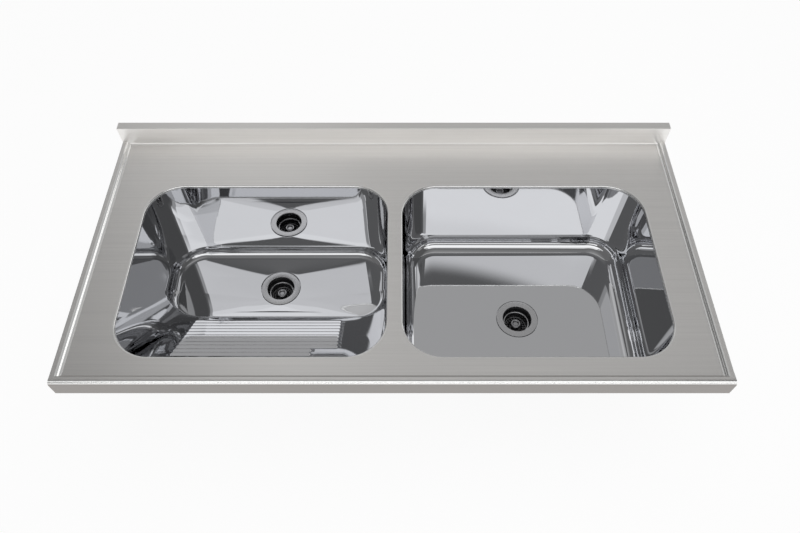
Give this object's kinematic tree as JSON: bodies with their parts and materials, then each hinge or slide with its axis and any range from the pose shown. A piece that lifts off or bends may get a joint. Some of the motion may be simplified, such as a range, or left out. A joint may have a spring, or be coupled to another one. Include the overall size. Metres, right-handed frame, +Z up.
{
  "type": "laundry sink",
  "caption": "Steel laundry sink worktop with a washboard bowl, a plain rinse bowl, raised rims, a rear upstand and lift-out strainer baskets in the drains.",
  "frame": {"origin": "middle of the worktop's plan, on the plane that its folded lower edge and rails rest on", "axes": "+X right along the worktop, +Y back towards the upstand, +Z up"},
  "size_m": [1.2, 0.6, 0.372],
  "materials": {
    "brushed_steel": "brushed along the length",
    "polished_steel": "mirror polished",
    "satin_steel": "satin",
    "galvanised_steel": "galvanised",
    "black_plastic": "moulded",
    "white_plastic": "moulded",
    "seal_rubber": "matt",
    "damping_pad": "matt"
  },
  "bodies": {
    "sink": {"worktop": "brushed_steel", "front_rail": "galvanised_steel", "rear_rail": "galvanised_steel", "left_rail": "galvanised_steel", "right_rail": "galvanised_steel", "centre_rail": "galvanised_steel", "laundry_bowl": "polished_steel", "laundry_sound_pad": "damping_pad", "laundry_drain_trim": "satin_steel", "laundry_valve_body": "black_plastic", "laundry_flange_seal": "seal_rubber", "laundry_body_gasket": "seal_rubber", "laundry_slip_washer": "white_plastic", "laundry_lock_nut": "white_plastic", "rinse_bowl": "polished_steel", "rinse_sound_pad": "damping_pad", "rinse_drain_trim": "satin_steel", "rinse_valve_body": "black_plastic", "rinse_flange_seal": "seal_rubber", "rinse_body_gasket": "seal_rubber", "rinse_slip_washer": "white_plastic", "rinse_lock_nut": "white_plastic"},
    "laundry_strainer": {"laundry_basket": "polished_steel", "laundry_basket_knob": "polished_steel", "laundry_stopper_sleeve": "white_plastic", "laundry_stopper": "seal_rubber", "laundry_stopper_nut": "galvanised_steel"},
    "rinse_strainer": {"rinse_basket": "polished_steel", "rinse_basket_knob": "polished_steel", "rinse_stopper_sleeve": "white_plastic", "rinse_stopper": "seal_rubber", "rinse_stopper_nut": "galvanised_steel"}
  },
  "joints": [
    {"name": "laundry_basket_lift", "type": "slide", "parent": "sink", "child": "laundry_strainer", "axis": [0, 0, 1], "range_m": [0, 0.36]},
    {"name": "rinse_basket_lift", "type": "slide", "parent": "sink", "child": "rinse_strainer", "axis": [0, 0, 1], "range_m": [0, 0.36]}
  ]
}
